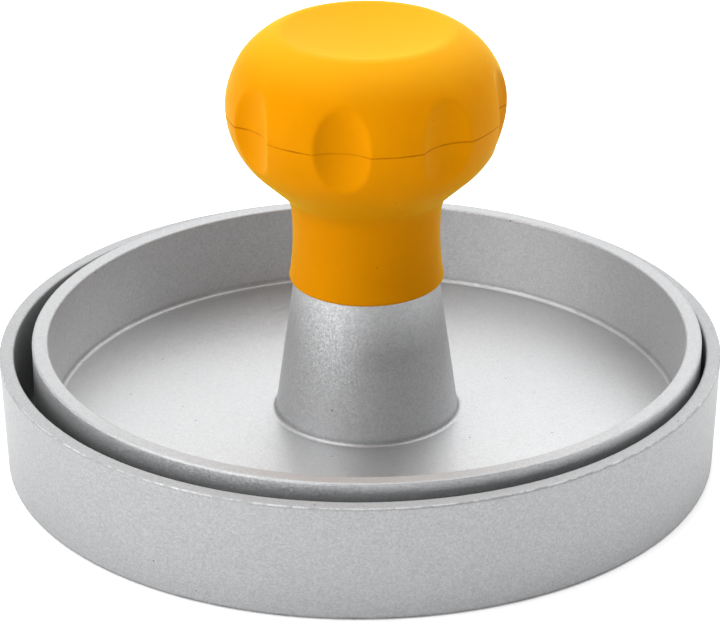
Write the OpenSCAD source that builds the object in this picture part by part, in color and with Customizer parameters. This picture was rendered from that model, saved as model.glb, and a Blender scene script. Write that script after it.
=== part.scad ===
// Patty press: an open round dish and a loose plunger with a scalloped knob.
// Millimetres, +Z up. The origin is the centre of the dish's underside.

/* [Dish] */
// Outer diameter of the dish at its rim
dish_d = 125; // [110:1:140]
// Height of the dish
dish_h = 20.4; // [18:0.2:30]
// Slope of the dish's outside wall, which narrows towards the foot, in degrees
dish_taper = 2; // [0:0.1:2.5]
// Thickness of the dish wall at its rim
dish_wall = 2.5; // [2:0.1:4]
// Thickness of the dish floor
dish_floor = 3.4; // [2.5:0.1:4]
// Draft of the inside walls of both castings, in degrees
draft = 1.5; // [0.5:0.1:2]

/* [Plunger] */
// Clear space all round between the dish wall and a centred plunger
plunger_gap = 2; // [1.6:0.1:3]
// How far off centre the plunger lies in the dish, as a share of its play
lie = 0.77; // [0:0.01:0.8]
// Height of the plunger from its pressing face to its rim
plunger_h = 19; // [17:0.5:30]
// Thickness of the plunger wall at its rim
plunger_wall = 2.75; // [2:0.05:4]
// Thickness of the pressing plate
plate_t = 4; // [3:0.5:5]

/* [Hub] */
// Diameter of the hub cone where it meets the plate
hub_foot_d = 31.8; // [30:0.1:36]
// Diameter of the hub cone under the knob
hub_top_d = 25; // [24:0.1:26]
// Height of the hub cone above the plate
hub_h = 25; // [20:0.5:32]
// Diameter of the spigot inside the knob
spigot_d = 19.6; // [18:0.1:20]
// Height of the spigot above the cone
spigot_h = 13; // [12:0.5:14]

/* [Knob] */
// Widest diameter of the knob
knob_d = 47.6; // [46:0.1:50]
// Diameter of the knob at its lower end
skirt_d = 26.8; // [26.4:0.1:28]
// Diameter of the knob at its waist
waist_d = 25.3; // [25:0.1:26]
// Wall thickness of both knob shells
shell_t = 2.4; // [2:0.1:2.6]
// Number of finger scallops round the knob
scallops = 8; // [6:2:10]
// Depth of a scallop at the widest place
scallop_depth = 2; // [1:0.1:2.5]
// Radius of the hollow of a scallop
scallop_r = 8.2; // [6:0.1:9]
// Turn of the scallop pattern about the knob's axis, in degrees
scallop_turn = -10; // [-22:1:22]
// Slope of the dished top at its lip, in degrees
dish_slope = 14; // [8:1:16]

/* [Fasteners] */
// Thread diameter of the handle screw
screw_d = 6; // [5:1:6]
// Length of the handle screw under its head
screw_l = 18; // [14:1:18]

/* [Hidden] */
$fn = 128;

EPS = 0.01;
FIT = 0.1;              // play between fixed pieces that slide together
EDGE = 0.4;             // rounding of the cast rims
CAST = [0.78, 0.79, 0.8];
ORANGE = [0.98, 0.66, 0.05];
STEEL = [0.72, 0.73, 0.75];
BRASS = [0.8, 0.66, 0.35];

// Dish
dish_r = dish_d / 2;
dish_in_r = dish_r - dish_wall;
dish_foot_r = 0.5;      // rounding under the outer wall
dish_fillet = 1.4;      // rounding between floor and wall
dish_foot_in_r = dish_in_r - (dish_h - dish_floor) * tan(draft);
dish_foot_x = dish_r - EDGE - (dish_h - EDGE - dish_foot_r) * tan(dish_taper)
    + (EDGE - dish_foot_r) / cos(dish_taper);

// Plunger
plunger_r = dish_in_r - plunger_gap;
plunger_in_r = plunger_r - plunger_wall;
plunger_shift = lie * (dish_foot_in_r - plunger_r);
plunger_edge = 1.5;     // rounding round the pressing face
plunger_fillet = 0.8;   // rounding between plate and wall
plate_z = dish_floor + plate_t;
rim_z = dish_floor + plunger_h;
hub_fillet = 0.7;
hub_z = plate_z + hub_h;
spigot_z = hub_z + spigot_h;
spigot_flat = spigot_d / 2 - 1.4;   // from the axis to each flat of the spigot
insert_r = screw_d / 2 + 1.2;
insert_l = 11;
insert_depth = insert_l + 4;        // the bore runs on below the insert

// Knob heights, all measured from the shoulder of the hub
waist_z = hub_z + 8.5;              // the narrowest place
seam_z = hub_z + 31.2;
wide_z = hub_z + 31.9;              // the widest place

// Knob outline: each arc meets the next one with no corner
knob_r = knob_d / 2;
under_r = 15.4;                     // arc of the lower half
under_a = 43;                       // slope of the straight underside
over_r = 13.9;                      // arc of the upper half
brow_a = 25;                        // slope where the upper arc meets the lip
lip_r = 3.2;                        // arc of the lip round the dished top
neck_fillet = 6;                    // between the neck and the underside
skirt_edge = 0.5;                   // rounding of the skirt's lower edge
under_c = [knob_r - under_r, wide_z];
over_c = [knob_r - over_r, wide_z];
lip_c = over_c + (over_r - lip_r) * [sin(brow_a), cos(brow_a)];
lip_in = lip_c[0] - lip_r * sin(dish_slope);
top_r = lip_in / sin(dish_slope);   // arc of the dished top
top_c = [0, lip_c[1] + (lip_r + top_r) * cos(dish_slope)];
seam_r = under_c[0] + sqrt(pow(under_r, 2) - pow(wide_z - seam_z, 2));

// Inside of the knob
web_t = 3.5;                        // web of the grip that the screw clamps
web_z = spigot_z;
well_z = web_z + web_t;
well_r = 7.4;                       // inside of the ring round the screw head
well_t = 1.8;
well_h = 6;
lap_r = knob_r - scallop_depth - shell_t;   // reach of the scallops' inner walls
lap_t = 1.8;
ledge_t = 1.3;
ledge_z = seam_z - 2.8;
hook_w = 7;
hook_out = 0.7;                     // how far a hook's barb stands out
hook_tip = 1.3;                     // height of the barb

// Fasteners
hole_r = screw_d / 2 + 0.3;
washer_r = screw_d;
washer_t = 1.6;
lock_r = screw_d - 0.1;
lock_t = 1.5;
head_r = screw_d * 5 / 6;
head_h = screw_d;
key_d = screw_d * 5 / 6 / cos(30);  // hexagon socket, across its corners
head_z = well_z + washer_t + lock_t;

// Points along an arc, from angle a to angle b
function arc(c, r, a, b, steps = 12) =
    [for (i = [0:steps]) c + r * [cos(a + (b - a) * i / steps), sin(a + (b - a) * i / steps)]];

// Outer outline of the upper half of the knob, drawn inwards by t, from the widest place to the axis
function over_line(t) = concat(
    arc(over_c, over_r - t, 0, 90 - brow_a, 16),
    arc(lip_c, lip_r - t, 90 - brow_a, 90 + dish_slope, 10),
    arc(top_c, top_r + t, -90 + dish_slope, -90, 8));

// How far below the widest place the lower arc, drawn inwards by t, meets the seam, as an angle
function seam_a(t) = asin((wide_z - seam_z) / (under_r - t));

// Curve of the waist, from the skirt up to the neck
waist_sag = (skirt_d - waist_d) / 2;
waist_run = waist_z - hub_z;
waist_r = (pow(waist_run, 2) + pow(waist_sag, 2)) / (2 * waist_sag);
waist_c = [waist_d / 2 + waist_r, waist_z];
waist_a = asin((waist_run - skirt_edge) / (waist_r + skirt_edge));
skirt_c = [waist_c[0] - (waist_r + skirt_edge) * cos(waist_a), hub_z + skirt_edge];

// Arc that leads from the curve of the waist to the straight underside
under_n = [sin(under_a), -cos(under_a)];
waist_off = (waist_c - under_c) * under_n - under_r;     // from the waist's centre to the underside
neck_a = asin((waist_off - neck_fillet) / (waist_r - neck_fillet)) - under_a;
neck_c = waist_c + (waist_r - neck_fillet) * [-cos(neck_a), sin(neck_a)];

// Outline of the knob from its lower edge up to the seam
under_line = concat(
    arc(skirt_c, skirt_edge, -90, waist_a, 6),
    arc(waist_c, waist_r, 180 + waist_a, 180 - neck_a, 12),
    arc(neck_c, neck_fillet, 180 - neck_a, 90 + under_a, 8),
    arc(under_c, under_r, under_a - 90, -seam_a(0), 16));

// Ring of revolution between two radii, from z up by h
module ring(r_out, r_in, z, h) {
    translate([0, 0, z])
        difference() {
            cylinder(r = r_out, h = h);
            translate([0, 0, -EPS])
                cylinder(r = r_in, h = h + 2 * EPS);
        }
}

// Round each of the scallops, at their own directions or midway between them
module at_scallops(half_step = false, every = 1) {
    for (i = [0:every:scallops - 1])
        rotate(scallop_turn + (i + (half_step ? 0.5 : 0)) * 360 / scallops)
            children();
}

// Upright cylinders that hollow out the scallops, grown by t for their inner walls
module scallop_tools(t) {
    at_scallops()
        translate([knob_r - scallop_depth + scallop_r, 0, hub_z])
            cylinder(r = scallop_r + t, h = 60);
}

// Round bar with two flats, like the spigot, grown by t
module flatted_bar(t, z, h) {
    flat = spigot_flat + t;
    translate([0, 0, z])
        intersection() {
            cylinder(r = spigot_d / 2 + t, h = h);
            translate([-flat, -spigot_d, -EPS])
                cube([2 * flat, 2 * spigot_d, h + 2 * EPS]);
        }
}

module dish() {
    color(CAST)
        rotate_extrude()
            polygon(concat(
                [[0, 0]],
                arc([dish_foot_x, dish_foot_r], dish_foot_r, -90, -dish_taper, 6),
                arc([dish_r - EDGE, dish_h - EDGE], EDGE, -dish_taper, 90, 4),
                arc([dish_in_r + EDGE, dish_h - EDGE], EDGE, 90, 180, 4),
                arc([dish_foot_in_r - dish_fillet, dish_floor + dish_fillet], dish_fillet, 0, -90, 6),
                [[0, dish_floor]]));
}

module plunger() {
    wall_foot_r = plunger_in_r - (plunger_h - plate_t) * tan(draft);
    color(CAST)
        translate([plunger_shift, 0, 0])
            difference() {
                union() {
                    rotate_extrude()
                        polygon(concat(
                            [[0, dish_floor]],
                            arc([plunger_r - plunger_edge, dish_floor + plunger_edge],
                                plunger_edge, -90, 0, 6),
                            arc([plunger_r - EDGE, rim_z - EDGE], EDGE, 0, 90, 4),
                            arc([plunger_in_r + EDGE, rim_z - EDGE], EDGE, 90, 180, 4),
                            arc([wall_foot_r - plunger_fillet, plate_z + plunger_fillet],
                                plunger_fillet, 0, -90, 6),
                            arc([hub_foot_d / 2 + hub_fillet, plate_z + hub_fillet],
                                hub_fillet, -90, -180, 6),
                            [[hub_top_d / 2, hub_z], [0, hub_z]]));
                    flatted_bar(0, hub_z - EPS, spigot_h + EPS);
                }
                translate([0, 0, spigot_z - insert_depth])
                    cylinder(r = insert_r, h = insert_depth + EPS);
            }
}

// Threaded insert pressed into the spigot, with a ribbed outside
module hub_insert() {
    ribs = 20;
    rib_depth = 0.25;
    color(BRASS)
        translate([plunger_shift, 0, spigot_z - insert_l])
            difference() {
                cylinder(r = insert_r, h = insert_l);
                translate([0, 0, -EPS])
                    cylinder(r = screw_d / 2 + 0.05, h = insert_l + 2 * EPS);
                translate([0, 0, insert_l / 2 - 0.6])
                    ring(insert_r + 1, insert_r - rib_depth, 0, 1.2);
                for (i = [0:ribs - 1])
                    rotate(i * 360 / ribs)
                        translate([insert_r - rib_depth, -0.2, 1])
                            cube([1, 0.4, insert_l - 2]);
            }
}

// Space inside the lower shell, above its web
module grip_room() {
    foot = under_c + (under_r - shell_t) * under_n;
    foot_r = foot[0] - (foot[1] - well_z) / tan(under_a);
    mouth_r = under_c[0] + (under_r - shell_t) * cos(seam_a(shell_t));
    difference() {
        rotate_extrude()
            polygon(concat(
                [[0, well_z], [foot_r, well_z]],
                arc(under_c, under_r - shell_t, under_a - 90, -seam_a(shell_t), 14),
                [[mouth_r, seam_z + 1], [0, seam_z + 1]]));
        scallop_tools(shell_t);
    }
}

module knob_grip() {
    color(ORANGE)
        translate([plunger_shift, 0, 0]) {
            difference() {
                rotate_extrude()
                    polygon(concat([[0, hub_z]], under_line, [[0, seam_z]]));
                scallop_tools(0);
                grip_room();
                flatted_bar(FIT, hub_z - EPS, spigot_h + EPS);
                translate([0, 0, web_z - EPS])
                    cylinder(r = hole_r, h = web_t + 2 * EPS);
            }
            ring(well_r + well_t, well_r, well_z - EPS, well_h);
            grip_ribs();
            grip_ledge();
        }
}

// Ribs from the ring round the screw head out to the shell, one to each scallop wall
module grip_ribs() {
    rib_t = 1.4;
    difference() {
        intersection() {
            grip_room();
            at_scallops()
                translate([well_r + 0.5, -rib_t / 2, well_z - EPS])
                    cube([knob_r, rib_t, well_h]);
        }
        translate([0, 0, well_z - 1])
            cylinder(r = well_r + 0.5, h = well_h + 2);
    }
}

// Ledge inside the shell, broken at the scallop walls, that the cap's hooks catch under
module grip_ledge() {
    intersection() {
        grip_room();
        ring(knob_r, lap_r + FIT / 2, ledge_z, ledge_t);
    }
}

module knob_cap() {
    color(ORANGE)
        translate([plunger_shift, 0, 0]) {
            difference() {
                rotate_extrude()
                    polygon(concat([[0, seam_z], [seam_r, seam_z]], over_line(0)));
                scallop_tools(0);
                difference() {
                    rotate_extrude()
                        polygon(concat(
                            [[0, seam_z - 1], [knob_r - shell_t, seam_z - 1]],
                            over_line(shell_t)));
                    scallop_tools(shell_t);
                    cap_lap();
                }
            }
            cap_hooks();
        }
}

// Ring inside the cap that drops into the grip, up to the underside of the dished top
module cap_lap() {
    ring(lap_r - FIT, lap_r - FIT - lap_t, seam_z - 1, 20);
}

// Four sprung hooks under the ring, midway between scallops, with arms a little thinner than it
module cap_hooks() {
    ring_r = lap_r - FIT;
    arm_in_r = ring_r - lap_t + FIT;
    hook_l = seam_z - ledge_z + hook_tip + FIT;
    barb_z = ledge_z - FIT - hook_tip;
    at_scallops(half_step = true, every = 2) {
        intersection() {
            ring(ring_r - FIT, arm_in_r, barb_z, hook_l + 1);
            translate([0, -hook_w / 2, barb_z])
                cube([knob_r, hook_w, hook_l + 2]);
        }
        intersection() {
            ring(ring_r + hook_out, arm_in_r, barb_z, hook_tip);
            translate([0, -hook_w / 2, barb_z])
                cube([knob_r, hook_w, hook_tip]);
        }
    }
}

// Socket head screw from inside the grip down into the insert
module handle_screw() {
    shank_r = screw_d / 2;
    color(STEEL)
        translate([plunger_shift, 0, head_z])
            difference() {
                union() {
                    rotate_extrude()
                        polygon([[0, 0], [head_r, 0], [head_r, head_h - EDGE],
                                 [head_r - EDGE, head_h], [0, head_h]]);
                    translate([0, 0, -screw_l])
                        rotate_extrude()
                            polygon([[0, 0], [shank_r - 0.8, 0], [shank_r, 0.8],
                                     [shank_r, screw_l + EPS], [0, screw_l + EPS]]);
                }
                translate([0, 0, head_h / 2])
                    cylinder(d = key_d, h = head_h, $fn = 6);
            }
}

module flat_washer() {
    color(STEEL)
        translate([plunger_shift, 0, 0])
            ring(washer_r, screw_d / 2 + 0.2, well_z, washer_t);
}

// Spring washer, split by a slanting cut
module lock_washer() {
    color(STEEL)
        translate([plunger_shift, 0, 0])
            difference() {
                ring(lock_r, screw_d / 2 + 0.1, well_z + washer_t, lock_t);
                translate([0, -0.4, well_z + washer_t - 1])
                    rotate([25, 0, 0])
                        cube([lock_r + 1, 0.8, lock_t + 3]);
            }
}

dish();
plunger();
hub_insert();
knob_grip();
knob_cap();
handle_screw();
flat_washer();
lock_washer();
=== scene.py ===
"""Patty press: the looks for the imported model. Metres, in the CAD's own frame."""
import math

import bmesh
import bpy
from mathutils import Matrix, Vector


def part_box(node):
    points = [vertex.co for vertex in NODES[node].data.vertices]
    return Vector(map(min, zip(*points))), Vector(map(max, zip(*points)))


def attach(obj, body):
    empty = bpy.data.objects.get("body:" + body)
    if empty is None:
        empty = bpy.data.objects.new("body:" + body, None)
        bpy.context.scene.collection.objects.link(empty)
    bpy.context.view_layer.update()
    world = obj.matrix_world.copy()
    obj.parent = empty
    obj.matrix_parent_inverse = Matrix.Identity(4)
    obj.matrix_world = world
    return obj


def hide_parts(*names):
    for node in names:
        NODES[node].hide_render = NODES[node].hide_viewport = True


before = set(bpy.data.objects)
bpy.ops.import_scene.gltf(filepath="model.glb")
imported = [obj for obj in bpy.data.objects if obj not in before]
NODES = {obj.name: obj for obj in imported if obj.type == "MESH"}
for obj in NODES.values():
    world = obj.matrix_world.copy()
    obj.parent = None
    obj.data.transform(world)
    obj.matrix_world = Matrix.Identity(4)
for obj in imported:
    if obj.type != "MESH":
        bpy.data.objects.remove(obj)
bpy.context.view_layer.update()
MM = 0.001


# ---------------------------------------------------------------- places taken from the CAD

def centre_x(node):
    low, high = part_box(node)
    return (low.x + high.x) / 2


PLUNGER_X = centre_x("plunger")
DISH_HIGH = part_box("dish")[1]
PLUNGER_LOW, PLUNGER_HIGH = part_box("plunger")
GRIP_LOW, GRIP_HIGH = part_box("knob_grip")
CAP_LOW, CAP_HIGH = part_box("knob_cap")

DISH_R = DISH_HIGH.x / MM
RIM_Z = DISH_HIGH.z / MM
PLUNGER_R = (PLUNGER_HIGH.y - PLUNGER_LOW.y) / 2 / MM
HUB_Z = GRIP_LOW.z / MM
SEAM_Z = GRIP_HIGH.z / MM
KNOB_R = (CAP_HIGH.y - CAP_LOW.y) / 2 / MM
DISH_FLOOR_Z = PLUNGER_LOW.z / MM
PLATE_T = 4           # thickness of the pressing plate
PLATE_Z = DISH_FLOOR_Z + PLATE_T
PLUNGER_RIM_Z = PLATE_Z + 15
HUB_FOOT_R = 15.9
DISH_CORNER = (DISH_R - 2.9, DISH_FLOOR_Z)
PLATE_CORNER = (PLUNGER_R - 3.1, PLATE_Z + 0.4)
HUB_CORNER = (HUB_FOOT_R, PLATE_Z + 0.4)


# ---------------------------------------------------------------- knob shapes, in millimetres

UNDER_R = 15.4        # arc of the lower half
UNDER_A = math.radians(43)
OVER_R = 13.9         # arc of the upper half
BROW_A = math.radians(25)
LIP_R = 3.2           # arc of the lip round the dished top
TOP_A = math.radians(14)
WIDE_Z = SEAM_Z + 0.695
WAIST_R = 12.65
WAIST_RUN = 8.5       # from the lower edge up to the narrowest place
SKIRT_R = 13.4
SKIRT_EDGE = 0.5
NECK_FILLET = 6.0
SHELL = 2.4
SOCKET_R = 9.9
WELL_Z = HUB_Z + 16.5
SCALLOPS = 8
SCALLOP_TURN = math.radians(-10)
SCALLOP_R = 8.2
SCALLOP_DEPTH = 2.0
SCALLOP_SOFT = 0.32   # how far the edge of a scallop is rounded
SCALLOPS_FROM_R = KNOB_R - 6         # nothing nearer the axis is cut by a scallop
SEAM_EDGE = 0.12      # rounding of both shells at the seam
SEAM_WAVES = ((0.07, 5, 0.6), (0.05, 13, 2.1), (0.035, 29, 0.0))   # size, count, start
SEAM_WAVE_FADE = 0.7  # how far above and below the seam its waves reach
COLUMNS = 560         # points round each ring
ON_AXIS = 1e-6
SMOOTH_UP_TO = math.radians(50)


def arc(centre, radius, start, end, steps):
    """Points along an arc, angles in radians from the outward direction."""
    angles = [start + (end - start) * i / steps for i in range(steps + 1)]
    return [(centre[0] + radius * math.cos(a), centre[1] + radius * math.sin(a)) for a in angles]


def over_line(inset):
    """Upper half of the knob from its widest place to the axis, drawn inwards by inset."""
    over = (KNOB_R - OVER_R, WIDE_Z)
    reach = OVER_R - LIP_R
    lip = (over[0] + reach * math.sin(BROW_A), over[1] + reach * math.cos(BROW_A))
    top_r = (lip[0] - LIP_R * math.sin(TOP_A)) / math.sin(TOP_A)
    top = (0, lip[1] + (LIP_R + top_r) * math.cos(TOP_A))
    right = math.pi / 2
    return (
        arc(over, OVER_R - inset, 0, right - BROW_A, steps=40)
        + arc(lip, LIP_R - inset, right - BROW_A, right + TOP_A, steps=16)[1:]
        + arc(top, top_r + inset, TOP_A - right, -right, steps=26)[1:]
    )


def under_arc(inset, steps):
    """Round part of the lower half, from its tangent point up to the seam."""
    low = -math.asin((WIDE_Z - SEAM_Z) / (UNDER_R - inset))
    return arc((KNOB_R - UNDER_R, WIDE_Z), UNDER_R - inset, UNDER_A - math.pi / 2, low, steps)


def skirt_line():
    """Lower edge, waist and neck of the grip."""
    sag = SKIRT_R - WAIST_R
    waist_r = (WAIST_RUN * WAIST_RUN + sag * sag) / (2 * sag)
    waist = (WAIST_R + waist_r, HUB_Z + WAIST_RUN)
    lean = math.asin((WAIST_RUN - SKIRT_EDGE) / (waist_r + SKIRT_EDGE))
    edge = (waist[0] - (waist_r + SKIRT_EDGE) * math.cos(lean), HUB_Z + SKIRT_EDGE)
    rise = waist_r - NECK_FILLET
    off = (
        (waist[0] - KNOB_R + UNDER_R) * math.sin(UNDER_A)
        - (waist[1] - WIDE_Z) * math.cos(UNDER_A)
        - UNDER_R
    )
    turn = math.asin((off - NECK_FILLET) / rise) - UNDER_A
    neck = (waist[0] - rise * math.cos(turn), waist[1] + rise * math.sin(turn))
    return (
        arc(edge, SKIRT_EDGE, -math.pi / 2, lean, steps=8)
        + arc(waist, waist_r, math.pi + lean, math.pi - turn, steps=28)[1:]
        + arc(neck, NECK_FILLET, math.pi - turn, math.pi / 2 + UNDER_A, steps=16)[1:]
    )


def straight(start, end, steps):
    """Points along a straight line."""
    return [
        (start[0] + (end[0] - start[0]) * i / steps, start[1] + (end[1] - start[1]) * i / steps)
        for i in range(steps + 1)
    ]


def smooth_min(a, b, soft):
    """The smaller of two lengths, rounded where they cross."""
    blend = max(0.0, min(1.0, 0.5 + 0.5 * (b - a) / soft))
    return b + (a - b) * blend - soft * blend * (1 - blend)


def scallop_reach(angle, grow):
    """How far out the knob's side may come at an angle, because of the nearest scallop."""
    pitch = 2 * math.pi / SCALLOPS
    off = (angle - SCALLOP_TURN + pitch / 2) % pitch - pitch / 2
    centre = KNOB_R - SCALLOP_DEPTH + SCALLOP_R
    radius = SCALLOP_R + grow
    aside = centre * math.sin(off)
    if abs(aside) >= radius:
        return centre
    return centre * math.cos(off) - math.sqrt(radius * radius - aside * aside)


def seam_wave(angle, height):
    """Small unevenness of the seam, fading out above and below it."""
    near = math.exp(-((height - SEAM_Z) / SEAM_WAVE_FADE) ** 2)
    return near * sum(size * math.sin(count * angle + start) for size, count, start in SEAM_WAVES)


def shell_point(radius, height, angle, inside):
    """One point of a knob shell, with the scallops cut in and the seam's waves added."""
    if radius > SCALLOPS_FROM_R:
        radius = smooth_min(radius, scallop_reach(angle, SHELL if inside else 0), SCALLOP_SOFT)
    if not inside:
        height += seam_wave(angle, height)
    return (
        PLUNGER_X + radius * math.cos(angle) * MM,
        radius * math.sin(angle) * MM,
        height * MM,
    )


def spin_shell(name, outline, inner_from):
    """Closed shell of revolution with scallops. Points from inner_from on belong to its inside."""
    mesh = bpy.data.meshes.new(name)
    bm = bmesh.new()
    angles = [2 * math.pi * column / COLUMNS for column in range(COLUMNS)]
    rows = []
    for index, (radius, height) in enumerate(outline):
        if radius < ON_AXIS:
            rows.append([bm.verts.new((PLUNGER_X, 0, height * MM))])
            continue
        inside = index >= inner_from
        rows.append([bm.verts.new(shell_point(radius, height, a, inside)) for a in angles])
    pairs = list(zip(rows, rows[1:]))
    if len(rows[0]) > 1 and len(rows[-1]) > 1:
        pairs.append((rows[-1], rows[0]))
    for low, high in pairs:
        if len(low) > 1 or len(high) > 1:
            join_rings(bm, low, high)
    bmesh.ops.recalc_face_normals(bm, faces=bm.faces)
    bm.to_mesh(mesh)
    bm.free()
    for polygon in mesh.polygons:
        polygon.use_smooth = True
    mesh.set_sharp_from_angle(angle=SMOOTH_UP_TO)
    piece = bpy.data.objects.new(name, mesh)
    bpy.context.collection.objects.link(piece)
    return piece


def join_rings(bm, low, high):
    """Faces between two rings, either of which may be one point on the axis."""
    for i in range(COLUMNS):
        j = (i + 1) % COLUMNS
        if len(low) == 1:
            bm.faces.new((low[0], high[j], high[i]))
        elif len(high) == 1:
            bm.faces.new((low[i], low[j], high[0]))
        else:
            bm.faces.new((low[i], low[j], high[j], high[i]))


def seam_lip(radius, side):
    """Rounded edge of a shell at the seam. side is 1 above the seam and -1 below it."""
    centre = (radius - SEAM_EDGE, SEAM_Z + side * SEAM_EDGE)
    if side > 0:
        return arc(centre, SEAM_EDGE, -math.pi / 2, 0, steps=5)
    return arc(centre, SEAM_EDGE, 0, math.pi / 2, steps=5)


def make_grip():
    """Lower shell: skirt, neck and the lower half of the bulb, with a socket for the spigot."""
    outer = skirt_line() + under_arc(0, steps=34)[:-1]
    outer = [point for point in outer if point[1] < SEAM_Z - SEAM_EDGE]
    seam_r = under_arc(0, steps=1)[-1][0]
    outer += seam_lip(seam_r, -1)
    inner = [(seam_r - SHELL, SEAM_Z)]
    bulb = reversed(under_arc(SHELL, steps=16))
    inner += [point for point in bulb if point[1] < SEAM_Z - 0.1]
    foot_r = inner[-1][0] - (inner[-1][1] - WELL_Z) / math.tan(UNDER_A)
    inner += straight(inner[-1], (foot_r, WELL_Z), steps=3)[1:]
    inner += [(SOCKET_R, WELL_Z - 0.4), (SOCKET_R, HUB_Z + 0.02)]
    return spin_shell("knob_grip_shell", outer + inner, len(outer))


def make_cap():
    """Upper shell: the upper half of the bulb with its dished top."""
    seam_r = under_arc(0, steps=1)[-1][0]
    outer = seam_lip(seam_r, 1)
    outer += [point for point in over_line(0) if point[1] > SEAM_Z + SEAM_EDGE + 0.05]
    inner = list(reversed(over_line(SHELL)))
    inner.append((KNOB_R - SHELL, SEAM_Z))
    return spin_shell("knob_cap_shell", outer + inner, len(outer))


# ---------------------------------------------------------------- material helpers

class Nodes:
    """Short calls for building a material out of nodes."""

    def __init__(self, name):
        self.material = bpy.data.materials.new(name)
        self.material.use_nodes = True
        self.tree = self.material.node_tree
        self.tree.nodes.clear()
        self.shader = self.add("ShaderNodeBsdfPrincipled")
        output = self.add("ShaderNodeOutputMaterial")
        self.link(self.shader.outputs["BSDF"], output.inputs["Surface"])
        self.place = self.add("ShaderNodeTexCoord").outputs["Object"]

    def add(self, kind, **settings):
        node = self.tree.nodes.new(kind)
        for key, value in settings.items():
            setattr(node, key, value)
        return node

    def link(self, source, target):
        self.tree.links.new(source, target)

    def put(self, socket, value):
        """Link a socket to another, or set its number or colour."""
        if isinstance(value, bpy.types.NodeSocket):
            self.link(value, socket)
        else:
            socket.default_value = value

    def math(self, operation, a, b=0.0):
        node = self.add("ShaderNodeMath", operation=operation)
        self.put(node.inputs[0], a)
        self.put(node.inputs[1], b)
        return node.outputs[0]

    def total(self, first, *others):
        for other in others:
            first = self.math("ADD", first, other)
        return first

    def product(self, first, *others):
        for other in others:
            first = self.math("MULTIPLY", first, other)
        return first

    def noise(self, scale, detail=3.0, roughness=0.55, stretch=None):
        """Smooth noise with scale waves to the metre."""
        node = self.add("ShaderNodeTexNoise")
        node.inputs["Scale"].default_value = scale
        node.inputs["Detail"].default_value = detail
        node.inputs["Roughness"].default_value = roughness
        place = self.place
        if stretch:
            mapping = self.add("ShaderNodeMapping")
            mapping.inputs["Scale"].default_value = stretch
            self.link(self.place, mapping.inputs["Vector"])
            place = mapping.outputs["Vector"]
        self.link(place, node.inputs["Vector"])
        return node.outputs["Fac"]

    def cells(self, scale):
        """Small cells, scale of them to the metre, each of its own random colour."""
        node = self.add("ShaderNodeTexVoronoi", feature="F1")
        node.inputs["Scale"].default_value = scale
        self.link(self.place, node.inputs["Vector"])
        return node.outputs["Color"]

    def remap(self, value, low, high, to_low, to_high, smooth=False):
        """Carry low..high over to to_low..to_high, and hold the value beyond both ends."""
        kind = "SMOOTHSTEP" if smooth else "LINEAR"
        node = self.add("ShaderNodeMapRange", interpolation_type=kind)
        self.put(node.inputs["Value"], value)
        node.inputs["From Min"].default_value = low
        node.inputs["From Max"].default_value = high
        node.inputs["To Min"].default_value = to_low
        node.inputs["To Max"].default_value = to_high
        return node.outputs["Result"]

    def remap_mm(self, value, low, high, to_low, to_high):
        """The same for a length, with low and high in millimetres."""
        return self.remap(value, low * MM, high * MM, to_low, to_high)

    def mix(self, factor, a, b):
        node = self.add("ShaderNodeMix", data_type="RGBA")
        self.put(node.inputs[0], factor)
        self.put(node.inputs[6], a)
        self.put(node.inputs[7], b)
        return node.outputs[2]

    def scale(self, colour, amount):
        node = self.add("ShaderNodeVectorMath", operation="SCALE")
        self.put(node.inputs[0], colour)
        self.put(node.inputs["Scale"], amount)
        return node.outputs[0]

    def radius(self, axis_x):
        """Distance from an upright axis, and the height, both in metres."""
        split = self.add("ShaderNodeSeparateXYZ")
        self.link(self.place, split.inputs[0])
        x = self.math("SUBTRACT", split.outputs["X"], axis_x)
        y = split.outputs["Y"]
        squares = self.total(self.product(x, x), self.product(y, y))
        return self.math("SQRT", squares), split.outputs["Z"]

    def facing_up(self):
        """1 on surfaces that face straight up, 0 on upright ones."""
        split = self.add("ShaderNodeSeparateXYZ")
        self.link(self.add("ShaderNodeTexCoord").outputs["Normal"], split.inputs[0])
        return split.outputs["Z"]

    def specks(self, scale, size, rare):
        """1 inside small sparse dots. Only cells whose random value is above rare hold a dot."""
        node = self.add("ShaderNodeTexVoronoi", feature="F1")
        node.inputs["Scale"].default_value = scale
        self.link(self.place, node.inputs["Vector"])
        split = self.add("ShaderNodeSeparateColor")
        self.link(node.outputs["Color"], split.inputs[0])
        dot = self.remap(node.outputs["Distance"], size * 0.5, size, 1, 0, smooth=True)
        return self.product(dot, self.math("GREATER_THAN", split.outputs[0], rare))

    def near(self, value, target, width):
        """1 where a value is at its target, falling to 0 at width away."""
        distance = self.math("ABSOLUTE", self.math("SUBTRACT", value, target))
        return self.remap(distance, 0, width, 1, 0, smooth=True)

    def ring(self, place, at, width):
        """1 on the ring at a radius and height, 0 at width away. at and width are millimetres.

        place is what radius() gives.
        """
        radius, height = place
        return self.product(
            self.near(radius, at[0] * MM, width * MM),
            self.near(height, at[1] * MM, width * MM),
        )

    def set(self, **sockets):
        """Set or link the shader's sockets, with _ for a space in their names."""
        for name, value in sockets.items():
            self.put(self.shader.inputs[name.replace("_", " ")], value)

    def bump(self, height, strength, distance):
        node = self.add("ShaderNodeBump")
        node.inputs["Strength"].default_value = strength
        node.inputs["Distance"].default_value = distance
        self.put(node.inputs["Height"], height)
        return node.outputs["Normal"]

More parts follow.
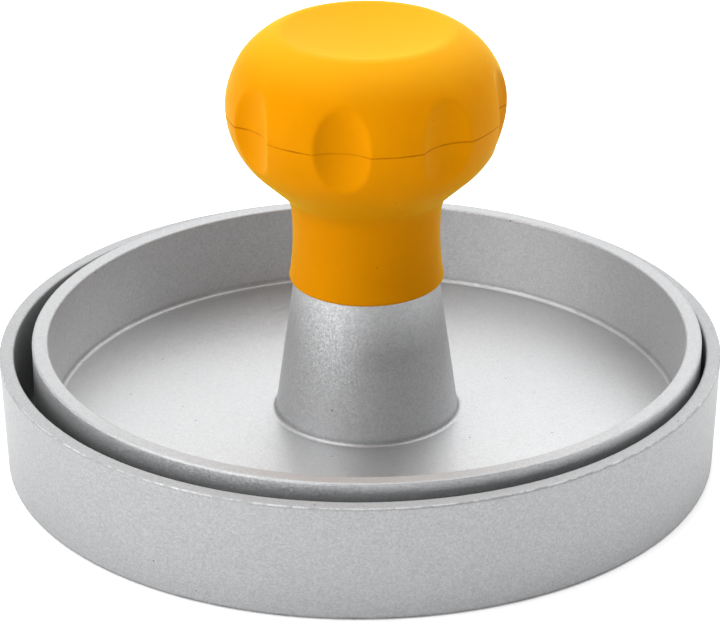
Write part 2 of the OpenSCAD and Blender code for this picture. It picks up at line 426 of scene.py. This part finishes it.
    def facets(self, colour, amount, under):
        """Tilt the normal of each small cell its own way, as blasted metal does."""
        centred = self.add("ShaderNodeVectorMath", operation="SUBTRACT")
        self.put(centred.inputs[0], colour)
        centred.inputs[1].default_value = (0.5, 0.5, 0.5)
        added = self.add("ShaderNodeVectorMath", operation="ADD")
        self.link(under, added.inputs[0])
        self.link(self.scale(centred.outputs[0], amount), added.inputs[1])
        unit = self.add("ShaderNodeVectorMath", operation="NORMALIZE")
        self.link(added.outputs[0], unit.inputs[0])
        return unit.outputs[0]


# ---------------------------------------------------------------- materials

CAST_DARK = (0.369, 0.374, 0.380, 1)
CAST_LIGHT = (0.478, 0.484, 0.491, 1)
CAST_POLISHED = (0.74, 0.74, 0.745, 1)
# Dark of the pits, also used for painted shade in the corners and a painted shadow at the foot.
CAST_PIT_AND_SHADE = (0.12, 0.12, 0.125, 1)
CAST_METALLIC = 0.8
CAST_GRAIN = 2300     # grain, cells and the rest are counts to the metre
CAST_CELLS = 3800
CAST_TILT_CELLS = 6200
CAST_SKIN = 4300
CAST_PATCHES = 55
CAST_PITS = 420
UPRIGHT = 0.2         # facing_up of a face that still counts as upright
LEVEL = 0.9           # facing_up of a face that already counts as level


def cast_grit(n, level, cell_tone, patch):
    """Light and dark of the grain from 0 to 1, calmer on level faces."""
    grain = n.noise(CAST_GRAIN, 3, 0.7)
    tone = n.total(n.product(grain, 0.5), n.product(cell_tone, 0.35), n.product(patch, 0.15))
    contrast = n.remap(level, UPRIGHT, LEVEL, 1, 0.6)
    return n.total(n.product(n.remap(tone, 0.25, 0.75, -0.5, 0.5), contrast), 0.5)


def cast_rim(n, place, edge):
    """1 on the level top of the wall whose outer edge is given."""
    radius, height = place
    edge_r, edge_z = edge
    return n.product(
        n.remap_mm(height, edge_z - 0.6, edge_z - 0.2, 0, 1),
        n.remap_mm(height, edge_z + 0.2, edge_z + 0.6, 1, 0),
        n.remap_mm(radius, edge_r - 4, edge_r - 3.5, 0, 1),
    )


def cast_painted_light(n, place, level, rim, edge, painted_light_tones):
    """Painted light and shade: how light the metal is made by how light falls on upright and level
    faces, inside and outside the wall and on the rim top. The wall's outer face is lighter again
    in a band below its edge.
    """
    radius, height = place
    edge_r, edge_z = edge
    side_tone, level_tone, inner_tone, outer_tone = painted_light_tones
    inner = n.remap_mm(radius, edge_r - 2.4, edge_r - 1.8, inner_tone, 1)
    inner_top = n.remap_mm(height, edge_z - 1.5, edge_z - 0.5, inner_tone, 1)
    outer = n.remap_mm(radius, edge_r - 1.8, edge_r - 1.2, 1, outer_tone)
    outer_band = n.remap_mm(height, edge_z - 5, edge_z - 2.6, outer_tone, 1)
    return n.product(
        n.remap(level, UPRIGHT, LEVEL, side_tone, level_tone),
        n.math("MAXIMUM", inner, inner_top),
        n.math("MAXIMUM", outer, outer_band),
        n.remap(rim, 0, 1, 1, 0.9),
    )


def cast_painted_shade_and_pits(n, body, place, edge_r, corners):
    """Painted shade in the inner corners, a painted contact shadow along the foot, and sparse
    pits.
    """
    radius, height = place
    # Painted shade along each inner corner, broken up by noise.
    corner_shade_breakup = n.remap(n.noise(180, 3), 0.3, 0.7, 0.5, 1)
    for corner in corners:
        line = n.ring(place, corner, 1.1)
        body = n.mix(n.product(line, corner_shade_breakup, 0.45), body, CAST_PIT_AND_SHADE)
    # Painted contact shadow along the foot of the outer wall.
    foot = n.product(
        n.near(height, 0.0, 0.75 * MM),
        n.near(radius, (edge_r - 0.7) * MM, 2 * MM),
        n.remap(n.noise(260, 4, 0.7), 0.4, 0.62, 0.55, 1),
    )
    body = n.mix(foot, body, CAST_PIT_AND_SHADE)
    return n.mix(n.specks(CAST_PITS, 0.09, 0.9), body, CAST_PIT_AND_SHADE)


def cast_aluminium(name, axis_x, edge, rub, corners, rough, painted_light_tones):
    """Fine blasted casting with painted light and shade by how light falls on each face, painted
    shade in its corners and a painted shadow along its foot, pitted here and there, one edge
    rubbed bright.

    edge, the outer edge of the wall, and each of the corners are a radius and a height in
    millimetres. rub is how bright the edge is rubbed. painted_light_tones are the painted light
    and shade of the upright faces, level faces, inside and outer wall.
    """
    n = Nodes(name)
    place = n.radius(axis_x)
    level = n.facing_up()
    patch = n.noise(CAST_PATCHES, 3)
    cells = n.add("ShaderNodeSeparateColor")
    n.link(n.cells(CAST_CELLS), cells.inputs[0])
    cell_tone, cell_gloss = cells.outputs[0], cells.outputs[1]
    rim = cast_rim(n, place, edge)
    body = n.mix(cast_grit(n, level, cell_tone, patch), CAST_DARK, CAST_LIGHT)
    # Painted light and shade by which way a face looks and where it is on the wall.
    body = n.scale(body, cast_painted_light(n, place, level, rim, edge, painted_light_tones))
    # Painted shade in the corners and a painted shadow along the foot, then the pits.
    body = cast_painted_shade_and_pits(n, body, place, edge[0], corners)
    worn = n.product(n.ring(place, edge, 0.32), n.remap(n.noise(320, 4, 0.75), 0.44, 0.58, 0, rub))
    roughness = n.total(
        n.remap(cell_gloss, 0, 1, rough - 0.07, rough + 0.07),
        n.remap(patch, 0, 1, -0.03, 0.03),
        n.product(rim, 0.14),
        n.product(worn, -0.25),
    )
    relief = n.bump(n.noise(CAST_SKIN, 2, 0.6), 0.2, 0.01 * MM)
    tilt = n.remap(level, UPRIGHT, 0.95, 0.17, 0.05)
    n.set(
        Base_Color=n.mix(worn, body, CAST_POLISHED),
        Metallic=CAST_METALLIC,
        Roughness=roughness,
        Normal=n.facets(n.cells(CAST_TILT_CELLS), tilt, relief),
    )
    return n.material


ORANGE = (0.575, 0.209, 0.0005, 1)
ORANGE_DEEP = (0.53, 0.189, 0.0005, 1)
# Lighter orange painted on upward faces where the light falls.
ORANGE_LIT_TOP = (0.65, 0.290, 0.006, 1)
ORANGE_DIRT = (0.25, 0.055, 0.001, 1)
ORANGE_GLOSS = (0.62, 0.86, 0.03, 1)
PLASTIC_MOTTLE = 90   # counts to the metre, as for the metal
PLASTIC_SKIN = 5200
PLASTIC_WAVES = 900
PLASTIC_SPECKS = 330
GRIME_WIDTH = 0.24    # reach of the grime above and below the seam


def soft_plastic(name):
    """Matte soft-touch moulding with a fine skin, painted lighter on top where light falls, a
    little grime in the seam.
    """
    n = Nodes(name)
    mottle = n.noise(PLASTIC_MOTTLE, 3)
    skin = n.noise(PLASTIC_SKIN, 2, 0.6)
    body = n.mix(n.remap(mottle, 0.35, 0.7, 0, 1), ORANGE, ORANGE_DEEP)
    # Painted light: faces that look up are made lighter.
    body = n.mix(n.remap(n.facing_up(), 0.45, 1, 0, 1, smooth=True), body, ORANGE_LIT_TOP)
    height = n.radius(PLUNGER_X)[1]
    seam = n.near(height, SEAM_Z * MM, GRIME_WIDTH * MM)
    grime = n.product(seam, n.remap(n.noise(85, 4, 0.7), 0.36, 0.62, 0.0, 0.85))
    body = n.mix(n.product(n.specks(PLASTIC_SPECKS, 0.07, 0.93), 0.5), body, ORANGE_DIRT)
    n.set(
        Base_Color=n.mix(grime, body, ORANGE_DIRT),
        Roughness=n.remap(n.noise(700, 3), 0.2, 0.8, 0.48, 0.6),
        Normal=n.bump(n.total(skin, n.noise(PLASTIC_WAVES, 3)), 0.12, 0.04 * MM),
        IOR=1.33,
        Specular_IOR_Level=0.05,
        Specular_Tint=ORANGE_GLOSS,
        Sheen_Weight=0.3,
        Sheen_Roughness=0.35,
        Sheen_Tint=ORANGE_GLOSS,
    )
    return n.material


STEEL_DARK = (0.5, 0.51, 0.53, 1)
STEEL_LIGHT = (0.66, 0.67, 0.69, 1)
BRASS_DARK = (0.55, 0.38, 0.14, 1)
BRASS_LIGHT = (0.78, 0.58, 0.26, 1)


def turned_metal(name, dark, light, rough):
    """Small turned part: rings of tool marks round its axis and a little tarnish."""
    n = Nodes(name)
    rings = n.noise(900, 4, 0.6, stretch=(1, 1, 9))
    tarnish = n.noise(500, 4)
    fine = n.noise(6000, 2)
    n.set(
        Base_Color=n.mix(n.remap(tarnish, 0.3, 0.7, 0, 1), dark, light),
        Metallic=1.0,
        Roughness=n.remap(fine, 0, 1, rough - 0.08, rough + 0.08),
        Normal=n.bump(rings, 0.3, 0.02 * MM),
    )
    return n.material


def set_material(piece, material):
    piece.data.materials.clear()
    piece.data.materials.append(material)


# ---------------------------------------------------------------- floor, light and camera

FLOOR_HALF = 3.0
FLOOR_Z = -0.05 * MM  # just under the dish
FLOOR_GREY = (0.90, 0.90, 0.90, 1)
FLOOR_WHITE = (0.93, 0.93, 0.93, 1)


def make_floor():
    """Plain white paper, with a faint glow that keeps it white in the camera's view."""
    mesh = bpy.data.meshes.new("floor")
    signs = ((-1, -1), (1, -1), (1, 1), (-1, 1))
    corners = [(x * FLOOR_HALF, y * FLOOR_HALF, FLOOR_Z) for x, y in signs]
    mesh.from_pydata(corners, [], [(0, 1, 2, 3)])
    floor = bpy.data.objects.new("floor", mesh)
    bpy.context.collection.objects.link(floor)
    n = Nodes("floor_paper")
    tone = n.remap(n.noise(30, 2), 0.2, 0.8, 0, 1)
    n.set(
        Base_Color=n.mix(tone, FLOOR_GREY, FLOOR_WHITE),
        Roughness=0.9,
        Emission_Color=(1, 1, 1, 1),
        Emission_Strength=0.15,
    )
    mesh.materials.append(n.material)


# Each wide soft source: bearing in degrees (0 behind, 90 right, 180 front), height, strength.
SOFT_SOURCES = (
    (0, 8, 0.76),
    (222, 8, 1.35),
    (252, 8, 1.60),
    (75, 15, 1.30),
    (0, 30, 1.60),
    (45, 30, 1.35),
    (232, 28, 2.75),
    (270, 30, 0.80),
    (0, 54, 2.10),
    (60, 54, 2.00),
    (240, 54, 2.10),
    (300, 54, 1.10),
    (0, 82, 1.70),
)
SOURCE_FOCUS = 9.0    # larger makes every source smaller


def direction(bearing, height):
    """Unit vector towards a bearing, turning from +Y to +X, and a height, both in radians."""
    level = math.cos(height)
    return (math.sin(bearing) * level, math.cos(bearing) * level, math.sin(height))


def make_world():
    """Soft studio surroundings: wide blurred sources, most of them left and behind."""
    world = bpy.data.worlds.new("studio")
    bpy.context.scene.world = world
    world.use_nodes = True
    tree = world.node_tree
    tree.nodes.clear()
    facing = tree.nodes.new("ShaderNodeTexCoord").outputs["Generated"]

    def math_node(operation, a, b=0.0):
        node = tree.nodes.new("ShaderNodeMath")
        node.operation = operation
        for socket, value in zip(node.inputs, (a, b)):
            if isinstance(value, float):
                socket.default_value = value
            else:
                tree.links.new(value, socket)
        return node.outputs[0]

    total = 0.0
    for bearing, height, strength in SOFT_SOURCES:
        dot = tree.nodes.new("ShaderNodeVectorMath")
        dot.operation = "DOT_PRODUCT"
        tree.links.new(facing, dot.inputs[0])
        dot.inputs[1].default_value = direction(math.radians(bearing), math.radians(height))
        away = math_node("SUBTRACT", dot.outputs["Value"], 1.0)
        lobe = math_node("EXPONENT", math_node("MULTIPLY", away, SOURCE_FOCUS))
        total = math_node("ADD", math_node("MULTIPLY", lobe, strength), total)
    back = tree.nodes.new("ShaderNodeBackground")
    tree.links.new(total, back.inputs["Strength"])
    out = tree.nodes.new("ShaderNodeOutputWorld")
    tree.links.new(back.outputs[0], out.inputs["Surface"])


CAMERA_PLACE = (0.00004, -0.4964, 0.2546)
CAMERA_DOWN = math.radians(24.77)    # how far it looks down
CAMERA_ROLL = math.radians(-0.21)
CAMERA_LENS = 157.6   # millimetres, for a sensor 36 wide


def make_camera():
    data = bpy.data.cameras.new("camera")
    data.sensor_fit = "HORIZONTAL"
    data.sensor_width = 36
    data.lens = CAMERA_LENS
    data.clip_start = 0.01
    camera = bpy.data.objects.new("camera", data)
    camera.location = CAMERA_PLACE
    camera.rotation_mode = "ZYX"
    camera.rotation_euler = (math.pi / 2 - CAMERA_DOWN, 0, CAMERA_ROLL)
    bpy.context.collection.objects.link(camera)
    bpy.context.scene.camera = camera


# ---------------------------------------------------------------- build

make_camera()
make_floor()
make_world()
bpy.context.scene.view_settings.view_transform = "Standard"

# The tones given to each casting are painted light and shade, set to how the light falls on that
# part.
dish_metal = cast_aluminium(
    "cast_aluminium_dish",
    axis_x=0.0,
    edge=(DISH_R, RIM_Z),
    rub=1,
    corners=[DISH_CORNER],
    rough=0.55,
    painted_light_tones=(0.82, 0.88, 0.8, 1),
)
plunger_metal = cast_aluminium(
    "cast_aluminium_plunger",
    axis_x=PLUNGER_X,
    edge=(PLUNGER_R, PLUNGER_RIM_Z),
    rub=0.25,
    corners=[PLATE_CORNER, HUB_CORNER],
    rough=0.43,
    painted_light_tones=(1.24, 0.89, 1, 0.68),
)
knob_plastic = soft_plastic("knob_soft_plastic")
steel = turned_metal("zinc_plated_steel", STEEL_DARK, STEEL_LIGHT, rough=0.34)
brass = turned_metal("turned_brass", BRASS_DARK, BRASS_LIGHT, rough=0.3)

set_material(NODES["dish"], dish_metal)
set_material(NODES["plunger"], plunger_metal)
set_material(NODES["hub_insert"], brass)
for fastener in ("handle_screw", "flat_washer", "lock_washer"):
    set_material(NODES[fastener], steel)

for piece, node in ((make_grip(), "knob_grip"), (make_cap(), "knob_cap")):
    set_material(piece, knob_plastic)
    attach(piece, "plunger")
    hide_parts(node)
